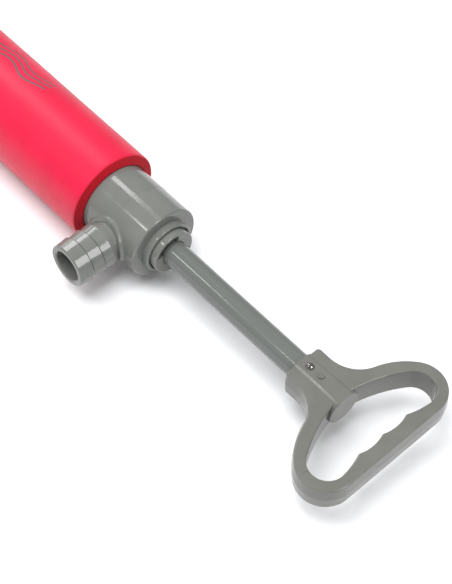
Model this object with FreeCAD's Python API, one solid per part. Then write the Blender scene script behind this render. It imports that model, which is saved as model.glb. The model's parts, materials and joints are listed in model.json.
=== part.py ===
import FreeCAD, Part

import math
import os

# Hand lift pump. The pump's axis is X: the foot face is at X = 0 and the handle is towards +X.
# The outlet points to -Y, and Z is up when the pump lies on its float. All sizes are in mm.

# Barrel
TUBE_R = 25.0
TUBE_BORE_R = 23.0
TUBE_START_X = 20.0
TUBE_END_X = 402.0
FIT = 0.05  # radial clearance of a push fit or a running fit

# Float
FOAM_R = 35.0
FOAM_BORE_R = TUBE_R + 0.1
FOAM_START_X = 114.0
FOAM_END_X = 394.0
FOAM_END_SLOPE = 2.0  # how far each end face falls back from its bore to its rim

# Head
HEAD_R = 27.4
HEAD_START_X = 372.0
HEAD_FACE_X = 445.0
HEAD_RIM_R = 1.5
HEAD_SHOULDER_X = 404.0
HEAD_WALL = 8.0

# Outlet spigot, measured outwards from the pump's axis
SPIGOT_X = 418.1
SPIGOT_BORE_R = 11.2
SPIGOT_START = 22.6
SPIGOT_TIP = 61.5
SPIGOT_TIP_R = 15.4
SPIGOT_SHANK_R = 13.9
SPIGOT_FLANGE_R = 15.0
SPIGOT_RING_START = 23.6
SPIGOT_RING_WIDTH = 1.7
SPIGOT_RING_R = 12.5
BARB_R = 16.2
BARB_LAND = 0.8
BARB_STARTS = (33.0, 41.5, 51.0)  # the step behind each barb, on the head's side
BARB_FOOT_R = 15.0
BARB_RELIEF_R = 14.3
BARB_RELIEF_WIDTH = 0.9
BOSS_R = 16.9
BOSS_TOP_R = 29.2  # the boss's end is round about the pump's axis, like the head
BOSS_FILLET_R = 1.5
BOSS_RIM_R = 0.6
PARTING_HEIGHT = 0.1
PARTING_HALF_WIDTH = 0.2

# Gland, measured from the head's face
BUSH_R = 19.3
BUSH_SHANK_R = 15.5
BUSH_FRONT_X = HEAD_FACE_X + 5.2
BUSH_REAR_X = HEAD_FACE_X - 9.0
SEAL_POCKET_R = 12.6
NUT_R = 16.4
NUT_FRONT_X = HEAD_FACE_X + 10.2
KEY_POCKET_R = 14.8
KEY_POCKET_ANGLE = 118.0  # middle of the first pocket, turned from +Y towards +Z

# Plunger, as it stands with the handle part way out
ROD_R = 9.1
ROD_BORE_R = 7.0
PISTON_X = 162.0
PISTON_LENGTH = 10.0
PISTON_R = 22.6
BOLT_R = 2.95
ROD_START_X = PISTON_X + 18.2
ROD_END_X = 610.0
STOP_END_X = 243.5

# Handle
HUB_X = 576.0
HUB_END_X = 615.0
HUB_FRONT_R = 11.7
HUB_END_R = 12.3
HUB_FLAT_Z = 10.9
GRIP_X = 658.5
HANDLE_TURN = 1.15  # how far the handle stands turned about the rod, in degrees
HANDLE_HALF_Z = 9.85
HANDLE_EDGE_R = 1.0
HANDLE_DRAFT = 0.7  # how far each face is smaller than the middle plane
NECK_Y = 15.2
LOBE_Y = 38.5
LOBE_R = 20.2
LOBE_HOLE_X = 638.1
LOBE_HOLE_R = 12.6
FINGER_PITCH = 20.5
FINGER_CUSP_X = 646.6
FINGER_CUSP_R = 1.3
SCREW_X = HUB_X + 7.8
PIP_X = HUB_X + 17.4
PIP_R = 2.2
PIP_HEIGHT = 1.2
PIP_CUP_R = 1.3
EJECTOR_MARK_R = 2.2
EJECTOR_MARK_DEPTH = 0.3
SCREW_HEAD_R = 2.9
SCREW_HEAD_HEIGHT = 2.1
SCREW_SHANK_R = 1.7

# Foot
FOOT_R = 28.5
FOOT_CAP_R = 27.6
FOOT_CAP_END_X = 42.0
SEAT_X = 14.0
PORTS = 6

X_AXIS = FreeCAD.Vector(1, 0, 0)
Z_AXIS = FreeCAD.Vector(0, 0, 1)
ORIGIN = FreeCAD.Vector(0, 0, 0)


def point(x, y=0.0, z=0.0):
    return FreeCAD.Vector(x, y, z)


def corner_arc(before, corner, after, radius):
    """The start, middle and end of the arc that rounds a corner."""
    back = (before - corner).normalize()
    ahead = (after - corner).normalize()
    half = back.getAngle(ahead) / 2
    reach = radius / math.tan(half)
    inward = (back + ahead).normalize()
    centre = corner + inward * (radius / math.sin(half))
    return corner + back * reach, centre - inward * radius, corner + ahead * reach


def rounded_wire(points):
    """A closed wire through (x, y) corners, or (x, y, radius) where a corner is round."""
    corners = [point(p[0], p[1]) for p in points]
    count = len(corners)
    spans = []
    for i, p in enumerate(points):
        if len(p) == 3:
            spans.append(corner_arc(corners[i - 1], corners[i], corners[(i + 1) % count], p[2]))
        else:
            spans.append((corners[i], None, corners[i]))
    edges = []
    for i, (start, middle, end) in enumerate(spans):
        if middle is not None:
            edges.append(Part.Arc(start, middle, end).toShape())
        following = spans[(i + 1) % count][0]
        if end.distanceToPoint(following) > 1e-4:
            edges.append(Part.LineSegment(end, following).toShape())
    return Part.Wire(Part.__sortEdges__(edges))


def turned(points):
    """A solid turned about X from a closed profile of (x, radius) corners."""
    return Part.Face(rounded_wire(points)).revolve(ORIGIN, X_AXIS, 360)


def ring(start_x, end_x, inner_r, outer_r):
    if inner_r == 0:
        return rod_solid(start_x, end_x, outer_r)
    return turned([(start_x, inner_r), (end_x, inner_r), (end_x, outer_r), (start_x, outer_r)])


def rod_solid(start_x, end_x, radius):
    return Part.makeCylinder(radius, end_x - start_x, point(start_x), X_AXIS)


def o_ring(x, inner_r, outer_r):
    section_r = (outer_r - inner_r) / 2
    return Part.makeTorus(inner_r + section_r, section_r, point(x), X_AXIS)


def holes_on_circle(start_x, end_x, hole_r, pitch_r, count):
    """Round holes along X, spaced evenly on a circle."""
    holes = []
    for i in range(count):
        angle = 2 * math.pi * i / count
        centre = point(start_x, pitch_r * math.cos(angle), pitch_r * math.sin(angle))
        holes.append(Part.makeCylinder(hole_r, end_x - start_x, centre, X_AXIS))
    return Part.makeCompound(holes)


def towards_outlet(shape):
    """Turn a shape made along +X so that it lies along the outlet's axis."""
    shape.rotate(ORIGIN, Z_AXIS, -90)
    shape.translate(point(SPIGOT_X))
    return shape


# ---- Barrel and float


def make_barrel_tube():
    return ring(TUBE_START_X, TUBE_END_X, TUBE_BORE_R, TUBE_R)


def make_foam_sleeve():
    """Closed-cell float, let out at its upper end to pass over the head's socket."""
    socket_r = HEAD_R + 0.2
    step_x = HEAD_START_X - 1.0
    return turned([
        (FOAM_START_X, FOAM_BORE_R),
        (step_x, FOAM_BORE_R),
        (step_x, socket_r),
        (FOAM_END_X, socket_r),
        (FOAM_END_X - FOAM_END_SLOPE, FOAM_R),
        (FOAM_START_X + FOAM_END_SLOPE, FOAM_R),
    ])


# ---- Head and outlet


def make_head_housing():
    """Tee moulding: a socket for the tube, a chamber, a front wall and the outlet's boss."""
    outside = turned([
        (HEAD_START_X, 0),
        (HEAD_FACE_X, 0),
        (HEAD_FACE_X, HEAD_R, HEAD_RIM_R),
        (HEAD_START_X, HEAD_R, 0.8),
    ])
    boss = towards_outlet(rod_solid(0, BOSS_TOP_R + 1, BOSS_R))
    boss = boss.common(rod_solid(HEAD_START_X, HEAD_FACE_X, BOSS_TOP_R))
    body = outside.fuse(boss)
    body = body.makeFillet(BOSS_FILLET_R, boss_edges(body, HEAD_R))
    body = body.makeFillet(BOSS_RIM_R, boss_edges(body, BOSS_TOP_R))
    parting_start_x = SPIGOT_X - PARTING_HALF_WIDTH
    parting_end_x = SPIGOT_X + PARTING_HALF_WIDTH
    parting_line = ring(parting_start_x, parting_end_x, HEAD_R - 1, HEAD_R + PARTING_HEIGHT)
    wall_x = HEAD_FACE_X - HEAD_WALL
    inside = turned([
        (HEAD_START_X - 1, 0),
        (HEAD_START_X - 1, TUBE_R + FIT),
        (HEAD_SHOULDER_X, TUBE_R + FIT),
        (HEAD_SHOULDER_X, TUBE_BORE_R),
        (wall_x, TUBE_BORE_R),
        (wall_x, BUSH_SHANK_R + FIT),
        (HEAD_FACE_X + 1, BUSH_SHANK_R + FIT),
        (HEAD_FACE_X + 1, 0),
    ])
    boss_bore = towards_outlet(rod_solid(0, BOSS_TOP_R + 1, SPIGOT_SHANK_R + FIT))
    return body.fuse(parting_line).cut(inside).cut(boss_bore)


def boss_edges(body, from_pump_axis):
    """The edges where the boss's side meets a round about the pump's axis."""
    found = []
    for edge in body.Edges:
        middle = edge.valueAt((edge.FirstParameter + edge.LastParameter) / 2)
        on_boss = abs(math.hypot(middle.x - SPIGOT_X, middle.z) - BOSS_R) < 0.01
        if on_boss and abs(math.hypot(middle.y, middle.z) - from_pump_axis) < 0.01:
            found.append(edge)
    return found


def make_outlet_spigot():
    """Hose tail with three barbs, each a cone that widens towards the head and ends in a step."""
    flange_start = BARB_STARTS[0] - 3.0
    ring_end = SPIGOT_RING_START + SPIGOT_RING_WIDTH
    first, second, third = BARB_STARTS
    tail = turned([
        (SPIGOT_START, SPIGOT_BORE_R),
        (SPIGOT_START, SPIGOT_SHANK_R),
        (SPIGOT_RING_START, SPIGOT_SHANK_R),
        (SPIGOT_RING_START, SPIGOT_RING_R),
        (ring_end, SPIGOT_RING_R),
        (ring_end, SPIGOT_SHANK_R),
        (flange_start, SPIGOT_SHANK_R),
        (flange_start, SPIGOT_FLANGE_R, 0.4),
        (first, SPIGOT_FLANGE_R),
        (first, BARB_R),
        (first + BARB_LAND, BARB_R, 2.0),
        *barb_step(second),
        *barb_step(third),
        (SPIGOT_TIP, SPIGOT_TIP_R, 1.1),
        (SPIGOT_TIP, SPIGOT_BORE_R + 0.9, 0.2),
        (SPIGOT_TIP - 0.9, SPIGOT_BORE_R),
    ])
    return towards_outlet(tail)


def barb_step(start):
    """The step from one barb's foot up to the next barb's crest, with a relief groove between them."""
    relief_start = start - BARB_RELIEF_WIDTH
    return [
        (relief_start, BARB_FOOT_R),
        (relief_start, BARB_RELIEF_R),
        (start, BARB_RELIEF_R),
        (start, BARB_R, 0.12),
    ]


def make_spigot_o_ring():
    middle = SPIGOT_RING_START + SPIGOT_RING_WIDTH / 2
    return towards_outlet(o_ring(middle, SPIGOT_RING_R + 0.02, SPIGOT_SHANK_R + FIT - 0.02))


# ---- Gland


def make_gland_bush():
    """Flanged bush in the head's front wall that guides the rod."""
    return turned([
        (BUSH_REAR_X, ROD_R + 0.07),
        (BUSH_REAR_X + 6, ROD_R + 0.07),
        (BUSH_REAR_X + 6, SEAL_POCKET_R),
        (HEAD_FACE_X + 2.4, SEAL_POCKET_R),
        (HEAD_FACE_X + 2.4, NUT_R + 0.9),
        (BUSH_FRONT_X, NUT_R + 0.9, 0.3),
        (BUSH_FRONT_X, BUSH_R, 0.8),
        (HEAD_FACE_X, BUSH_R),
        (HEAD_FACE_X, BUSH_SHANK_R),
        (BUSH_REAR_X, BUSH_SHANK_R),
    ])


def make_gland_nut():
    """Nut that presses on the rod's o-ring, with two key pockets in its front face."""
    nut_x = HEAD_FACE_X + 2.4
    nut = turned([
        (nut_x - 1.4, ROD_R + 0.1),
        (NUT_FRONT_X - 6.4, ROD_R + 0.1),
        (NUT_FRONT_X - 6.4, 11.6),
        (NUT_FRONT_X - 3.8, 11.6),
        (NUT_FRONT_X - 3.8, ROD_R + 0.1),
        (NUT_FRONT_X, ROD_R + 0.1, 0.3),
        (NUT_FRONT_X, NUT_R, 0.9),
        (nut_x, NUT_R),
        (nut_x, SEAL_POCKET_R - FIT),
        (nut_x - 1.4, SEAL_POCKET_R - FIT),
    ])
    for angle in (KEY_POCKET_ANGLE, KEY_POCKET_ANGLE + 180):
        nut = nut.cut(key_pocket(angle))
    return nut


def key_pocket(angle):
    """A quarter-circle pocket beside the rod."""
    depth = 2.8
    pocket = ring(NUT_FRONT_X - depth, NUT_FRONT_X + 1, ROD_R - 1, KEY_POCKET_R)
    quarter = Part.makeBox(depth + 1, NUT_R, NUT_R, point(NUT_FRONT_X - depth))
    quarter.rotate(ORIGIN, X_AXIS, angle - 45)
    return pocket.common(quarter)


def make_rod_wiper_seal():
    return turned([
        (NUT_FRONT_X - 6.3, ROD_R + 0.07),
        (NUT_FRONT_X - 5.5, ROD_R + 0.07),
        (NUT_FRONT_X - 3.9, ROD_R + 0.8),
        (NUT_FRONT_X - 3.9, 11.5),
        (NUT_FRONT_X - 6.3, 11.5),
    ])


# ---- Foot


def make_foot_cap():
    """Socket on the tube's lower end, with side inlets round its foot."""
    cap = turned([
        (0, TUBE_R + FIT),
        (3.3, TUBE_R + FIT),
        (3.3, 23.5),
        (SEAT_X, 23.5),
        (SEAT_X, TUBE_R + FIT),
        (FOOT_CAP_END_X, TUBE_R + FIT),
        (FOOT_CAP_END_X, FOOT_CAP_R, 1.0),
        (12.0, FOOT_CAP_R, 2.0),
        (11.0, FOOT_R, 0.6),
        (0, FOOT_R, 1.0),
    ])
    inlet = Part.makeBox(8.0 + 1, 7.0, 8.0, point(-1, -3.5, 22.0))
    for i in range(8):
        cut = inlet.copy()
        cut.rotate(ORIGIN, X_AXIS, 45 * i + 22.5)
        cap = cap.cut(cut)
    return cap


def make_strainer_grid():
    """Perforated disc across the foot."""
    grid = rod_solid(0, 3.2, TUBE_R)
    for pitch_r, count in ((8.0, 6), (14.0, 12), (20.0, 18)):
        grid = grid.cut(holes_on_circle(-1, 5, 2.0, pitch_r, count))
    return grid


def make_foot_valve_seat():
    """Port plate with two raised lands that the valve disc closes on."""
    face_x = SEAT_X + 4.6
    plate = turned([
        (SEAT_X, BOLT_R + 0.1),
        (face_x + 0.4, BOLT_R + 0.1),
        (face_x + 0.4, 6.0),
        (face_x, 6.0),
        (face_x, 17.6),
        (face_x + 0.4, 17.6),
        (face_x + 0.4, 19.4),
        (face_x, 19.4),
        (face_x, TUBE_R),
        (SEAT_X, TUBE_R),
    ])
    return plate.cut(holes_on_circle(SEAT_X - 1, face_x + 1, 4.4, 11.8, PORTS))


def make_foot_gasket():
    return ring(SEAT_X + 4.6, TUBE_START_X, TUBE_BORE_R, TUBE_R)


def make_foot_valve_disc():
    return ring(SEAT_X + 5.3, SEAT_X + 7.8, BOLT_R + 0.3, 19.8)


def make_foot_valve_pin():
    """Headed pin that guides the foot valve's disc and limits its lift."""
    return turned([
        (SEAT_X - 2, 0),
        (SEAT_X - 2, 5.0, 0.8),
        (SEAT_X, 5.0),
        (SEAT_X, BOLT_R),
        (SEAT_X + 12.2, BOLT_R),
        (SEAT_X + 12.2, 6.0),
        (SEAT_X + 14.4, 6.0, 1.0),
        (SEAT_X + 14.4, 0),
    ])


# ---- Piston


def make_piston_body():
    """Ported piston with a groove for its cup seal."""
    piston = turned([
        (PISTON_X, BOLT_R + 0.1),
        (PISTON_X + PISTON_LENGTH, BOLT_R + 0.1),
        (PISTON_X + PISTON_LENGTH, PISTON_R, 0.5),
        (PISTON_X + 7.4, PISTON_R),
        (PISTON_X + 7.4, 18.4),
        (PISTON_X + 2.6, 18.4),
        (PISTON_X + 2.6, PISTON_R),
        (PISTON_X, PISTON_R, 0.5),
    ])
    return piston.cut(holes_on_circle(PISTON_X - 1, PISTON_X + 11, 3.3, 12.8, PORTS))


def make_piston_cup_seal():
    """U-shaped ring whose lips face the pressure side."""
    lip_x = PISTON_X + 7.1
    return turned([
        (PISTON_X + 2.9, 18.7),
        (lip_x, 18.7),
        (lip_x, 19.7),
        (PISTON_X + 4.9, 20.6),
        (PISTON_X + 4.9, 21.1),
        (lip_x, 21.9),
        (lip_x, TUBE_BORE_R - FIT),
        (PISTON_X + 2.9, TUBE_BORE_R - FIT),
    ])


def make_piston_valve_disc():
    return ring(PISTON_X + 10.3, PISTON_X + 12.8, 5.35, 17.6)


def make_valve_sleeve():
    return ring(PISTON_X + PISTON_LENGTH, PISTON_X + 16.2, BOLT_R + 0.1, 5.0)


def make_valve_stop():
    return ring(PISTON_X + 16.2, ROD_START_X, BOLT_R + 0.1, 11.0)


def make_piston_washer():
    return ring(PISTON_X - 1.8, PISTON_X, BOLT_R + 0.1, 8.4)


def make_piston_bolt():
    """Hexagon bolt that clamps the piston stack to the rod's end plug."""
    head_start = PISTON_X - 6.3
    head_end = PISTON_X - 1.8
    flats = 10.0
    corners = []
    for i in range(7):
        angle = math.pi / 3 * i
        reach = flats / math.sqrt(3)
        corners.append(point(head_start, reach * math.cos(angle), reach * math.sin(angle)))
    head = Part.Face(Part.makePolygon(corners)).extrude(point(head_end - head_start))
    return head.fuse(rod_solid(head_end, PISTON_X + 38, BOLT_R)).removeSplitter()


# ---- Rod


def make_pump_rod():
    tube = ring(ROD_START_X, ROD_END_X, ROD_BORE_R, ROD_R)
    return tube.cut(screw_hole())


def make_rod_end_plug():
    """Insert in the rod's lower end that takes the piston bolt."""
    plug = rod_solid(ROD_START_X, PISTON_X + 44, ROD_BORE_R - FIT)
    return plug.cut(rod_solid(ROD_START_X - 1, PISTON_X + 40, BOLT_R + FIT))


def make_rod_top_plug():
    """Insert in the rod's upper end that takes the handle's screw."""
    plug = rod_solid(HUB_X - 6.5, ROD_END_X, ROD_BORE_R - FIT)
    return plug.cut(screw_hole())


def make_stop_sleeve():
    return ring(ROD_START_X, STOP_END_X, ROD_R + FIT, 11.6)


def make_buffer_washer():
    start_x = STOP_END_X
    end_x = STOP_END_X + 4.0
    return turned([
        (start_x, ROD_R + FIT),
        (end_x, ROD_R + FIT),
        (end_x, 13.0, 1.2),
        (start_x, 13.0, 0.6),
    ])


# ---- Handle


def handle_outline():
    """The D-shaped handle's outer edge: a neck, two shoulders and two lobes."""
    half = [
        (HUB_X, NECK_Y, 3.0),
        (HUB_X + 27.9, NECK_Y, 23.2),
        (HUB_X + 37.9, 45.4, 50.0),
        (GRIP_X, 82.6, LOBE_R),
    ]
    other = [(x, -y, radius) for x, y, radius in reversed(half)]
    return rounded_wire(half + other)


def hand_hole():
    """The hand hole: bowed shoulders, round ends, and four finger hollows along the grip."""
    hub_corner = (HUB_X + 36.4, 7.0)
    shoulder_middle = (HUB_X + 42.8, 28.8)
    shoulder_end = (LOBE_HOLE_X - 10.6, LOBE_Y + 6.8)
    bar_x = LOBE_HOLE_X + LOBE_HOLE_R
    half = [
        (hub_corner, shoulder_middle, shoulder_end),
        (shoulder_end, (LOBE_HOLE_X, LOBE_Y + LOBE_HOLE_R), (bar_x, LOBE_Y)),
        ((bar_x, LOBE_Y), (FINGER_CUSP_X + 2.8, 1.45 * FINGER_PITCH), (FINGER_CUSP_X, FINGER_PITCH)),
        ((FINGER_CUSP_X, FINGER_PITCH), (FINGER_CUSP_X + 1.9, FINGER_PITCH / 2), (FINGER_CUSP_X, 0)),
    ]
    edges = []
    for side in (1, -1):
        for span in half:
            arc_points = [point(x, side * y) for x, y in span]
            edges.append(Part.Arc(*arc_points).toShape())
    hub_x, hub_y = hub_corner
    edges.append(Part.LineSegment(point(hub_x, -hub_y), point(hub_x, hub_y)).toShape())
    return Part.Wire(Part.__sortEdges__(edges))


def drafted_slab(wire, half_z, inset):
    """A slab that narrows by inset from its middle plane to each face."""
    face_wire = wire.makeOffset2D(-inset)
    halves = []
    for side in (1, -1):
        end = face_wire.copy()
        end.translate(point(0, 0, side * half_z))
        halves.append(Part.makeLoft([wire, end], True, True))
    return halves[0].fuse(halves[1])


def hole_tool():
    """The solid that cuts the hand hole, with the cusps between the finger hollows rounded."""
    reach = HANDLE_HALF_Z + 1
    tool = Part.Face(hand_hole()).extrude(point(0, 0, 2 * reach))
    tool.translate(point(0, 0, -reach))
    cusps = []
    for edge in tool.Edges:
        start, end = edge.firstVertex().Point, edge.lastVertex().Point
        if abs(start.x - FINGER_CUSP_X) < 1e-3 and abs(end.z - start.z) > reach:
            cusps.append(edge)
    return tool.makeFillet(FINGER_CUSP_R, cusps)


def face_edges(solid, half_z):
    """The edges that run round a slab's two flat faces."""
    found = []
    for edge in solid.Edges:
        heights = [abs(vertex.Point.z) for vertex in edge.Vertexes]
        if all(abs(height - half_z) < 1e-6 for height in heights):
            found.append(edge)
    return found


def handle_hub():
    """The hub: a cone, widest at the grip's end, with a flat along its top."""
    hub = turned([
        (HUB_X, 0),
        (HUB_END_X, 0),
        (HUB_END_X, HUB_END_R, 0.6),
        (HUB_X, HUB_FRONT_R, 0.6),
    ])
    above = Part.makeBox(HUB_END_X - HUB_X + 2, 30, 5, point(HUB_X - 1, -15, HUB_FLAT_Z))
    return hub.cut(above)


def gate_pip():
    """The stub left on the hub's flat by the mould's gate, with a cupped top."""
    pip = Part.makeCylinder(PIP_R, 1 + PIP_HEIGHT, point(PIP_X, 0, HUB_FLAT_Z - 1), Z_AXIS)
    cup = Part.makeSphere(PIP_CUP_R, point(PIP_X, 0, HUB_FLAT_Z + PIP_HEIGHT + 0.5))
    return pip.cut(cup)


def as_turned(shape):
    """Turn a piece of the handle about the rod to where the handle stands."""
    shape.rotate(ORIGIN, X_AXIS, HANDLE_TURN)
    return shape


def screw_hole():
    depth = 4.5
    hole = Part.makeCylinder(SCREW_SHANK_R + FIT, HUB_FLAT_Z + 1 + depth, point(SCREW_X, 0, -depth), Z_AXIS)
    return as_turned(hole)


def make_handle_grip():
    plate = drafted_slab(handle_outline(), HANDLE_HALF_Z, HANDLE_DRAFT)
    plate = plate.cut(hole_tool())
    plate = plate.makeFillet(HANDLE_EDGE_R, face_edges(plate, HANDLE_HALF_Z))
    handle = plate.fuse(handle_hub()).fuse(gate_pip())
    mark_place = point(HUB_X + 60, -54, HANDLE_HALF_Z - EJECTOR_MARK_DEPTH)
    ejector_mark = Part.makeCylinder(EJECTOR_MARK_R, 1.0, mark_place, Z_AXIS)
    handle = as_turned(handle.cut(ejector_mark))
    handle = handle.cut(rod_solid(HUB_X - 1, ROD_END_X + 0.3, ROD_R + FIT))
    return handle.cut(screw_hole())


def make_handle_screw():
    """Dome-headed screw with a cross recess."""
    dome_r = (SCREW_HEAD_R**2 + SCREW_HEAD_HEIGHT**2) / (2 * SCREW_HEAD_HEIGHT)
    dome = Part.makeSphere(dome_r, point(0, 0, SCREW_HEAD_HEIGHT - dome_r))
    dome = dome.common(Part.makeCylinder(SCREW_HEAD_R, SCREW_HEAD_HEIGHT, ORIGIN, Z_AXIS))
    shank_length = HUB_FLAT_Z + 4.0
    shank = Part.makeCylinder(SCREW_SHANK_R, shank_length, point(0, 0, -shank_length), Z_AXIS)
    screw = dome.fuse(shank)
    for length, width in ((2.6, 0.6), (0.6, 2.6)):
        slot = Part.makeBox(length, width, 1.5, point(-length / 2, -width / 2, SCREW_HEAD_HEIGHT - 0.8))
        screw = screw.cut(slot)
    screw.translate(point(SCREW_X, 0, HUB_FLAT_Z))
    return as_turned(screw)


NODES = {
    "barrel_tube": make_barrel_tube,
    "foam_sleeve": make_foam_sleeve,
    "head_housing": make_head_housing,
    "head_o_ring": lambda: o_ring(TUBE_END_X + 1, TUBE_BORE_R + 0.03, TUBE_R - 0.03),
    "outlet_spigot": make_outlet_spigot,
    "spigot_o_ring": make_spigot_o_ring,
    "gland_bush": make_gland_bush,
    "gland_o_ring": lambda: o_ring(HEAD_FACE_X - 1, ROD_R + 0.1, SEAL_POCKET_R - 0.1),
    "gland_nut": make_gland_nut,
    "rod_wiper_seal": make_rod_wiper_seal,
    "foot_cap": make_foot_cap,
    "strainer_grid": make_strainer_grid,
    "foot_valve_seat": make_foot_valve_seat,
    "foot_gasket": make_foot_gasket,
    "foot_valve_disc": make_foot_valve_disc,
    "foot_valve_pin": make_foot_valve_pin,
    "piston_body": make_piston_body,
    "piston_cup_seal": make_piston_cup_seal,
    "piston_valve_disc": make_piston_valve_disc,
    "valve_sleeve": make_valve_sleeve,
    "valve_stop": make_valve_stop,
    "piston_washer": make_piston_washer,
    "piston_bolt": make_piston_bolt,
    "pump_rod": make_pump_rod,
    "rod_end_plug": make_rod_end_plug,
    "rod_top_plug": make_rod_top_plug,
    "stop_sleeve": make_stop_sleeve,
    "buffer_washer": make_buffer_washer,
    "handle_grip": make_handle_grip,
    "handle_screw": make_handle_screw,
}


def main():
    os.makedirs("parts", exist_ok=True)
    for name, make in NODES.items():
        shape = make()
        if shape.ShapeType == "Compound" and len(shape.Solids) == 1:
            shape = shape.Solids[0]
        if shape.ShapeType != "Solid" or not shape.isValid():
            raise SystemExit(f"{name} is not one valid solid")
        shape.exportStep(f"parts/{name}.step")
        print(f"{name}: {shape.Volume / 1000:.2f} cm3")


main()
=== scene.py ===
import json
import math

import bmesh
import bpy
from mathutils import Matrix, Quaternion, Vector, noise


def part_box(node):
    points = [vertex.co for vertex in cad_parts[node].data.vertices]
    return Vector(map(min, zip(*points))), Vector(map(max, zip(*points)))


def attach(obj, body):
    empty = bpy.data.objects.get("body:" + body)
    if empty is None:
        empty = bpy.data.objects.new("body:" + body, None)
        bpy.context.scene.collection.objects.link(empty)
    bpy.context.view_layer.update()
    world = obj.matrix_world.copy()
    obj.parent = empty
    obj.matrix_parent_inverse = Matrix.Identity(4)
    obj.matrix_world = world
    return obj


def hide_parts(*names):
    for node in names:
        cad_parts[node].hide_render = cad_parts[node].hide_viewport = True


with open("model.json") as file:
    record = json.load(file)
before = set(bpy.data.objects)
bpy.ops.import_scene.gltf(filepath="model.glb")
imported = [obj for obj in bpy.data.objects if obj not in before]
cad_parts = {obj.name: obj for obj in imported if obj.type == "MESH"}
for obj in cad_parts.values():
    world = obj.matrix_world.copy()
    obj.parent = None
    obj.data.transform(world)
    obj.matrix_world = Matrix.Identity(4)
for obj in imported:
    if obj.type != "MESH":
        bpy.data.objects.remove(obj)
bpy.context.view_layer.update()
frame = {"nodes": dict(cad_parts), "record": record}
NODES = frame["nodes"]

MM = 0.001

# Places that the CAD model gives, in metres. The pump's axis is X, and the outlet points to -Y.
FOAM_LOW, FOAM_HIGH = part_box("foam_sleeve")
HEAD_LOW, HEAD_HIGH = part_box("head_housing")
TUBE_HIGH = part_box("barrel_tube")[1]
FLOOR_Z = FOAM_LOW.z
FOAM_R = FOAM_HIGH.z
FOAM_SLOPE = 2.0 * MM  # how far each end face falls back from its bore to its rim
HEAD_R = HEAD_HIGH.z
HEAD_FACE_X = HEAD_HIGH.x


# ---- Materials


class Shader:
    """A node material with one Principled shader, and short calls for the nodes that feed it."""

    def __init__(self, name, colour, roughness, **settings):
        self.material = bpy.data.materials.new(name)
        self.material.use_nodes = True
        self.nodes = self.material.node_tree.nodes
        self.links = self.material.node_tree.links
        self.bsdf = self.nodes["Principled BSDF"]
        self.bsdf.inputs["Base Color"].default_value = (*colour, 1.0)
        self.bsdf.inputs["Roughness"].default_value = roughness
        for key, value in settings.items():
            self.bsdf.inputs[key.replace("_", " ")].default_value = value
        self.place = self.add("ShaderNodeTexCoord").outputs["Object"]

    def add(self, kind, **properties):
        node = self.nodes.new(kind)
        for key, value in properties.items():
            setattr(node, key, value)
        return node

    def feed(self, socket, value):
        """Link a socket to an output, or set its value."""
        if isinstance(value, bpy.types.NodeSocket):
            self.links.new(value, socket)
        else:
            socket.default_value = value

    def math(self, operation, *values):
        node = self.add("ShaderNodeMath", operation=operation)
        for socket, value in zip(node.inputs, values):
            self.feed(socket, value)
        return node.outputs[0]

    def stretched(self, scale):
        """The object's coordinates, scaled apart along X, Y and Z."""
        node = self.add("ShaderNodeMapping")
        self.links.new(self.place, node.inputs["Vector"])
        node.inputs["Scale"].default_value = scale
        return node.outputs["Vector"]

    def noise(self, size, detail=2.0, where=None):
        """Noise whose features are about size metres across."""
        node = self.add("ShaderNodeTexNoise")
        self.links.new(where or self.place, node.inputs["Vector"])
        node.inputs["Scale"].default_value = 1.0 / size
        node.inputs["Detail"].default_value = detail
        return node.outputs["Fac"]

    def cells(self, size):
        """Rounded cells about size metres across."""
        node = self.add("ShaderNodeTexVoronoi", feature="SMOOTH_F1")
        self.links.new(self.place, node.inputs["Vector"])
        node.inputs["Scale"].default_value = 1.0 / size
        return node.outputs["Distance"]

    def ramp(self, value, low, high, to_low=0.0, to_high=1.0):
        node = self.add("ShaderNodeMapRange", interpolation_type="SMOOTHSTEP")
        for key, number in (("From Min", low), ("From Max", high), ("To Min", to_low), ("To Max", to_high)):
            node.inputs[key].default_value = number
        self.links.new(value, node.inputs["Value"])
        return node.outputs["Result"]

    def blend(self, factor, first, second):
        """Mix two colours, each a triple or an output."""
        node = self.add("ShaderNodeMix", data_type="RGBA")
        self.feed(node.inputs["Factor"], factor)
        for key, colour in (("A", first), ("B", second)):
            socket = [s for s in node.inputs if s.name == key and s.type == "RGBA"][0]
            self.feed(socket, colour if isinstance(colour, bpy.types.NodeSocket) else (*colour, 1.0))
        return [s for s in node.outputs if s.type == "RGBA"][0]

    def colour(self, value):
        self.links.new(value, self.bsdf.inputs["Base Color"])

    def roughness(self, value):
        self.links.new(value, self.bsdf.inputs["Roughness"])

    def bump(self, *layers):
        """Stack (height, depth in metres) layers of bump."""
        normal = None
        for height, depth in layers:
            node = self.add("ShaderNodeBump")
            node.inputs["Distance"].default_value = depth
            self.links.new(height, node.inputs["Height"])
            if normal is not None:
                self.links.new(normal, node.inputs["Normal"])
            normal = node.outputs["Normal"]
        self.links.new(normal, self.bsdf.inputs["Normal"])


def shifted(colour, factor):
    """A lighter or darker shade of a colour."""
    return tuple(channel * factor for channel in colour)


def moulded_plastic(name, colour, gloss=0.095, grain=0.001):
    """Injection-moulded plastic: flow mottling, orange peel, handling marks, and grain mm deep texture."""
    shader = Shader(name, colour, gloss, Specular_IOR_Level=0.5)
    flow = shader.noise(18 * MM, 3.0)
    shader.colour(shader.blend(shader.ramp(flow, 0.3, 0.7), shifted(colour, 0.95), shifted(colour, 1.05)))
    scuffs = shader.noise(9 * MM, 4.0)
    shader.roughness(shader.ramp(scuffs, 0.35, 0.75, gloss - 0.02, gloss + 0.05))
    shader.bump((shader.noise(2.5 * MM, 1.0), 0.004 * MM), (shader.noise(0.6 * MM, 2.0), grain * MM))
    return shader.material


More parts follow.
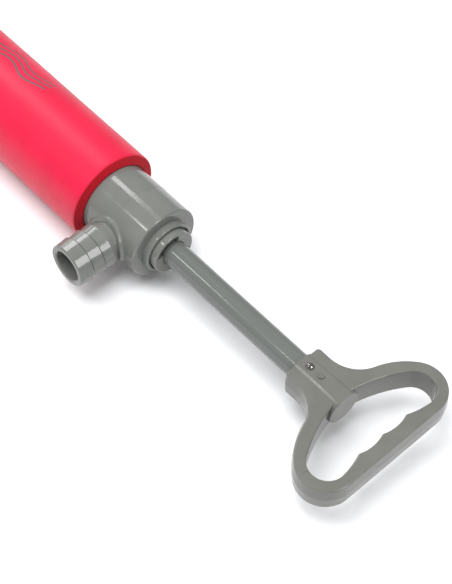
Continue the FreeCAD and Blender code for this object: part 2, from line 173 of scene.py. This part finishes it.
def extruded_plastic(name, colour, gloss=0.12):
    """Extruded tube: fine draw lines along X and a glossy skin."""
    shader = Shader(name, colour, gloss, Specular_IOR_Level=0.5)
    lines = shader.noise(0.9 * MM, 2.0, shader.stretched((0.01, 1.0, 1.0)))
    shader.colour(shader.blend(shader.ramp(lines, 0.3, 0.7), shifted(colour, 0.96), shifted(colour, 1.04)))
    marks = shader.noise(3 * MM, 3.0, shader.stretched((0.15, 1.0, 1.0)))
    shader.roughness(shader.ramp(marks, 0.4, 0.8, gloss, gloss + 0.06))
    shader.bump((lines, 0.001 * MM))
    return shader.material


def rubber(name, colour):
    """Black rubber with a pale bloom in patches."""
    shader = Shader(name, colour, 0.55)
    bloom = shader.noise(4 * MM, 3.0)
    shader.colour(shader.blend(shader.ramp(bloom, 0.35, 0.7), colour, shifted(colour, 1.6)))
    shader.roughness(shader.ramp(bloom, 0.3, 0.7, 0.45, 0.65))
    shader.bump((shader.noise(0.5 * MM, 2.0), 0.02 * MM))
    return shader.material


def polished_steel(name):
    """Polished stainless steel with a few darker specks."""
    shader = Shader(name, STEEL, 0.1, Metallic=1.0)
    specks = shader.noise(0.8 * MM, 3.0)
    shader.colour(shader.blend(shader.ramp(specks, 0.4, 0.7), shifted(STEEL, 0.85), STEEL))
    shader.roughness(shader.ramp(specks, 0.3, 0.7, 0.07, 0.15))
    shader.bump((shader.noise(0.3 * MM, 1.0), 0.003 * MM))
    return shader.material


GREY = (0.148, 0.153, 0.142)
HANDLE_GREY = (0.134, 0.135, 0.122)
ROD_GREY = (0.121, 0.130, 0.123)
INNER_WHITE = (0.72, 0.72, 0.68)
SEAL_BLACK = (0.012, 0.012, 0.013)
VALVE_BLACK = (0.035, 0.035, 0.035)
STEEL = (0.34, 0.33, 0.315)
FOAM_RED = (0.62, 0.006, 0.045)
# The cut ends' darker red is partly the cut foam's own colour and partly painted shade on the end faces.
FOAM_CUT_AND_SHADE = (0.50, 0.0008, 0.012)
FOAM_SHEEN = (1.0, 0.75, 0.8, 1.0)
PRINT_GREY = (0.09, 0.09, 0.095)


def wave_print(shader):
    """A mask of three parallel waves along the float, in place of any lettering."""
    split = shader.add("ShaderNodeSeparateXYZ")
    shader.links.new(shader.place, split.inputs["Vector"])
    along, across, up = split.outputs
    start, end = FOAM_HIGH.x - 0.205, FOAM_HIGH.x - 0.085
    middle_angle = math.radians(72)
    wave_length, height, gap, half_line = 40 * MM, 2.6 * MM, 5.2 * MM, 0.75 * MM
    soft_side, soft_end = 0.15 * MM, 0.3 * MM
    angle = shader.math("ARCTAN2", up, across)
    around = shader.math("MULTIPLY", shader.math("SUBTRACT", angle, middle_angle), FOAM_R)
    phase = shader.math("MULTIPLY", along, 2 * math.pi / wave_length)
    wave = shader.math("MULTIPLY", shader.math("SINE", phase), height)
    offset = shader.math("SUBTRACT", around, wave)
    mask = None
    for line in (-1, 0, 1):
        distance = shader.math("ABSOLUTE", shader.math("SUBTRACT", offset, line * gap))
        stroke = shader.ramp(distance, half_line, half_line + soft_side, 1.0, 0.0)
        mask = stroke if mask is None else shader.math("MAXIMUM", mask, stroke)
    for value, low, high in ((along, start, start + soft_end), (along, end, end - soft_end)):
        mask = shader.math("MULTIPLY", mask, shader.ramp(value, low, high))
    return mask


def cut_ends(shader):
    """A mask of the float's two cut end faces."""
    split = shader.add("ShaderNodeSeparateXYZ")
    shader.links.new(shader.place, split.inputs["Vector"])
    along = split.outputs[0]
    rim, inside = FOAM_SLOPE, FOAM_SLOPE + 0.9 * MM
    upper = shader.ramp(along, FOAM_HIGH.x - inside, FOAM_HIGH.x - rim)
    lower = shader.ramp(along, FOAM_LOW.x + rim, FOAM_LOW.x + inside, 1.0, 0.0)
    return shader.math("MAXIMUM", upper, lower)


def foam_skin():
    """Closed-cell foam: a matt skin with fine cells and colour drift, and open cells where it is cut, whose
    darker red is partly the cut foam's own colour and partly painted shade.
    """
    shader = Shader("float_foam", FOAM_RED, 0.5, Specular_IOR_Level=0.45,
                    Sheen_Weight=0.03, Sheen_Roughness=0.5, Sheen_Tint=FOAM_SHEEN)
    drift = shader.ramp(shader.noise(25 * MM, 3.0), 0.3, 0.7)
    grain = shader.ramp(shader.noise(0.7 * MM, 2.0), 0.3, 0.7)
    red = shader.blend(drift, shifted(FOAM_RED, 0.94), shifted(FOAM_RED, 1.06))
    red = shader.blend(shader.math("MULTIPLY", grain, 0.35), red, shifted(FOAM_RED, 0.85))
    printed = wave_print(shader)
    wear = shader.ramp(shader.noise(0.9 * MM, 3.0), 0.25, 0.45, 0.75, 1.0)
    worn = shader.math("MULTIPLY", printed, wear)
    cut = cut_ends(shader)
    open_cells = shader.ramp(shader.cells(0.8 * MM), 0.1, 0.6)
    # Darker red on the cut ends: partly the open cells' own colour, partly painted shade on the end faces.
    torn_and_shaded = shader.blend(open_cells, FOAM_CUT_AND_SHADE, shifted(FOAM_CUT_AND_SHADE, 0.72))
    shader.colour(shader.blend(cut, shader.blend(worn, red, PRINT_GREY), torn_and_shaded))
    skin_roughness = shader.ramp(grain, 0.0, 1.0, 0.42, 0.52)
    shader.roughness(shader.math("MAXIMUM", skin_roughness, shader.math("MULTIPLY", cut, 0.95)))
    torn_height = shader.math("MULTIPLY", open_cells, cut)
    fine_cells = (shader.cells(0.55 * MM), 0.05 * MM)
    shader.bump(fine_cells, (shader.noise(6 * MM, 2.0), 0.10 * MM), (torn_height, 0.25 * MM))
    return shader.material


MATERIALS = {
    "moulded_plastic": moulded_plastic("moulded_plastic", GREY),
    "handle_plastic": moulded_plastic("handle_plastic", HANDLE_GREY, 0.2, 0.012),
    "barrel_plastic": extruded_plastic("barrel_plastic", shifted(GREY, 0.95)),
    "rod_plastic": extruded_plastic("rod_plastic", ROD_GREY),
    "inner_plastic": moulded_plastic("inner_plastic", INNER_WHITE, 0.35),
    "float_foam": foam_skin(),
    "seal_rubber": rubber("seal_rubber", SEAL_BLACK),
    "valve_rubber": rubber("valve_rubber", VALVE_BLACK),
    "stainless": polished_steel("stainless"),
}


def dress(piece, slot):
    """Give a piece one of the materials."""
    piece.data.materials.clear()
    piece.data.materials.append(MATERIALS[slot])


for part in frame["record"]["subparts"]:
    dress(NODES[part["node"]], part["material_slot"])
# The handle is moulded in a warmer grey with a matt texture.
dress(NODES["handle_grip"], "handle_plastic")


# ---- Mesh helpers


def finish_mesh(name, mesh, slot, body):
    """Make a smooth piece of a mesh, with its slot and the body that it rides on."""
    mesh.normal_update()
    data = bpy.data.meshes.new(name)
    mesh.to_mesh(data)
    mesh.free()
    piece = bpy.data.objects.new(name, data)
    bpy.context.scene.collection.objects.link(piece)
    data.shade_smooth()
    dress(piece, slot)
    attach(piece, body)
    return piece


def round_corner(x, r, radius, start_angle, end_angle, steps=8):
    """Points (x, r) of an arc about a centre, with angles in degrees."""
    points = []
    for i in range(steps + 1):
        angle = math.radians(start_angle + (end_angle - start_angle) * i / steps)
        points.append((x + radius * math.cos(angle), r + radius * math.sin(angle)))
    return points


def lathe(profile, segments, shape=None):
    """Turn a closed profile of (x, r) about X. shape(x, angle, r) may change the radius."""
    mesh = bmesh.new()
    rings = []
    for x, r in profile:
        ring = []
        for i in range(segments):
            angle = 2 * math.pi * i / segments
            radius = shape(x, angle, r) if shape else r
            ring.append(mesh.verts.new((x, radius * math.cos(angle), radius * math.sin(angle))))
        rings.append(ring)
    for j, ring in enumerate(rings):
        following = rings[(j + 1) % len(rings)]
        for i in range(segments):
            k = (i + 1) % segments
            mesh.faces.new((ring[i], ring[k], following[k], following[i]))
    bmesh.ops.recalc_face_normals(mesh, faces=mesh.faces)
    return mesh


# ---- Float

FOAM_SEGMENTS = 176
FOAM_LENGTH_STEPS = 90
FOAM_FACE_STEPS = 8


def foam_profile():
    """Half section of the float: its cut ends fall back a little from the bore to a narrow rounded rim."""
    edge = 1.6 * MM
    lip = 0.6 * MM
    bore_r = TUBE_HIGH.z + 0.1 * MM
    socket_r = HEAD_R + 0.15 * MM
    step_x = HEAD_LOW.x - 1.0 * MM
    points = []
    start, end = FOAM_LOW.x + FOAM_SLOPE + edge, FOAM_HIGH.x - FOAM_SLOPE - edge
    for i in range(FOAM_LENGTH_STEPS):
        points.append((start + (end - start) * i / FOAM_LENGTH_STEPS, FOAM_R))
    tilt = math.degrees(math.atan2(FOAM_SLOPE, FOAM_R - socket_r))
    points += round_corner(end, FOAM_R - edge, edge, 90, tilt)
    rim_x, rim_r = points[-1]
    for i in range(1, FOAM_FACE_STEPS):
        part = i / FOAM_FACE_STEPS
        points.append((rim_x + (FOAM_HIGH.x - rim_x) * part, rim_r + (socket_r + lip - rim_r) * part))
    points += round_corner(FOAM_HIGH.x - lip, socket_r + lip, lip, 0, -90, 4)
    points += [(step_x, socket_r), (step_x, bore_r)]
    points += round_corner(FOAM_LOW.x + lip, bore_r + lip, lip, 270, 180, 4)
    points += round_corner(start, FOAM_R - edge, edge, 180 - tilt, 90)[:-1]
    return points


def foam_shape(x, angle, r):
    """Soft foam is never quite round or straight: let its skin wander by a tenth of a millimetre or so."""
    skin_depth = 5 * MM
    if r < FOAM_R - skin_depth:
        return r
    waves_along, waves_around = 18, 1.6
    spot = Vector((x * waves_along, waves_around * math.cos(angle), waves_around * math.sin(angle)))
    wander, sink = 0.18, 0.12
    return r + noise.noise(spot) * wander * MM - sink * MM


def make_float():
    mesh = lathe(foam_profile(), FOAM_SEGMENTS, foam_shape)
    piece = finish_mesh("float_sleeve", mesh, "float_foam", "barrel")
    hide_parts("foam_sleeve")


make_float()


# ---- Surroundings

WHITE = (1.0, 1.0, 1.0, 1.0)
FLOOR_WHITE = (0.79, 0.795, 0.81)
FLOOR_HALF_SIZE = 6.0
WORLD_STRENGTH = 0.36

# The camera looks down on the head from the outlet's side, with a long lens.
CAMERA_TARGET = Vector((HEAD_FACE_X + 56.7 * MM, 4.4 * MM, 0))
CAMERA_AZIMUTH, CAMERA_ELEVATION, CAMERA_ROLL = -45.36, 53.47, 3.87
CAMERA_DISTANCE = 0.912
LENS_MM, SENSOR_MM = 86.2, 36.0

# Soft panels that face the head: name, azimuth and elevation in degrees, distance, length and width in
# metres, power in watts, and whether they light surfaces and show in glossy ones.
PANELS = (
    ("left", 165.5, 44.5, 1.3, 0.62, 0.26, 3.9, True, True),
    ("left_low", 168, 18, 1.3, 0.7, 0.26, 1.4, False, True),
    ("right", 9, 40, 1.2, 0.78, 0.34, 3.8, True, True),
    ("right_gloss", 9, 40, 1.21, 0.78, 0.34, 2.6, False, True),
    ("near", -132.1, 49.4, 1.42, 0.16, 0.10, 0.9, True, True),
    ("front", -114, 55.2, 1.31, 0.11, 0.10, 0.7, True, True),
    ("overhead", -85, 76, 1.6, 0.9, 0.9, 30, True, False),
)


def make_floor():
    """A wide white table top, at the height of the float's lowest side."""
    shader = Shader("floor", FLOOR_WHITE, 0.6, Emission_Strength=0.03, Emission_Color=WHITE)
    shader.roughness(shader.ramp(shader.noise(0.2, 2.0), 0.3, 0.7, 0.55, 0.7))
    mesh = bmesh.new()
    bmesh.ops.create_grid(mesh, x_segments=2, y_segments=2, size=FLOOR_HALF_SIZE)
    data = bpy.data.meshes.new("floor")
    mesh.to_mesh(data)
    mesh.free()
    floor = bpy.data.objects.new("floor", data)
    bpy.context.scene.collection.objects.link(floor)
    floor.location.z = FLOOR_Z
    data.materials.append(shader.material)


def direction(azimuth, elevation):
    """A unit vector, from angles in degrees: azimuth from X towards Y, elevation above the floor."""
    a, e = math.radians(azimuth), math.radians(elevation)
    return Vector((math.cos(e) * math.cos(a), math.cos(e) * math.sin(a), math.sin(e)))


def add_panel(name, azimuth, elevation, distance, length, width, power, diffuse, glossy):
    """Place a soft panel that faces the head, with its length in a plane with X."""
    lamp = bpy.data.lights.new(name, "AREA")
    lamp.shape = "RECTANGLE"
    lamp.size = length
    lamp.size_y = width
    lamp.energy = power
    light = bpy.data.objects.new(name, lamp)
    bpy.context.scene.collection.objects.link(light)
    way = direction(azimuth, elevation)
    across = way.cross(Vector((1, 0, 0))).normalized()
    turn = Matrix((across.cross(way), across, way)).transposed()
    place = Vector((HEAD_FACE_X, 0, 0)) + way * distance
    light.matrix_world = Matrix.Translation(place) @ turn.to_4x4()
    light.visible_diffuse = diffuse
    light.visible_glossy = glossy


def add_world():
    """Even white light from all round."""
    world = bpy.data.worlds.new("studio")
    world.use_nodes = True
    background = world.node_tree.nodes["Background"]
    background.inputs["Color"].default_value = WHITE
    background.inputs["Strength"].default_value = WORLD_STRENGTH
    bpy.context.scene.world = world


def add_camera():
    away = direction(CAMERA_AZIMUTH, CAMERA_ELEVATION)
    roll = Quaternion((0, 0, 1), math.radians(CAMERA_ROLL))
    lens = bpy.data.cameras.new("camera")
    lens.lens = LENS_MM
    lens.sensor_width = SENSOR_MM
    lens.clip_end = 50.0
    camera = bpy.data.objects.new("camera", lens)
    bpy.context.scene.collection.objects.link(camera)
    camera.location = CAMERA_TARGET + away * CAMERA_DISTANCE
    camera.rotation_euler = (away.to_track_quat("Z", "Y") @ roll).to_euler()
    bpy.context.scene.camera = camera


make_floor()
add_world()
for panel in PANELS:
    add_panel(*panel)
add_camera()
bpy.context.scene.view_settings.view_transform = "Standard"
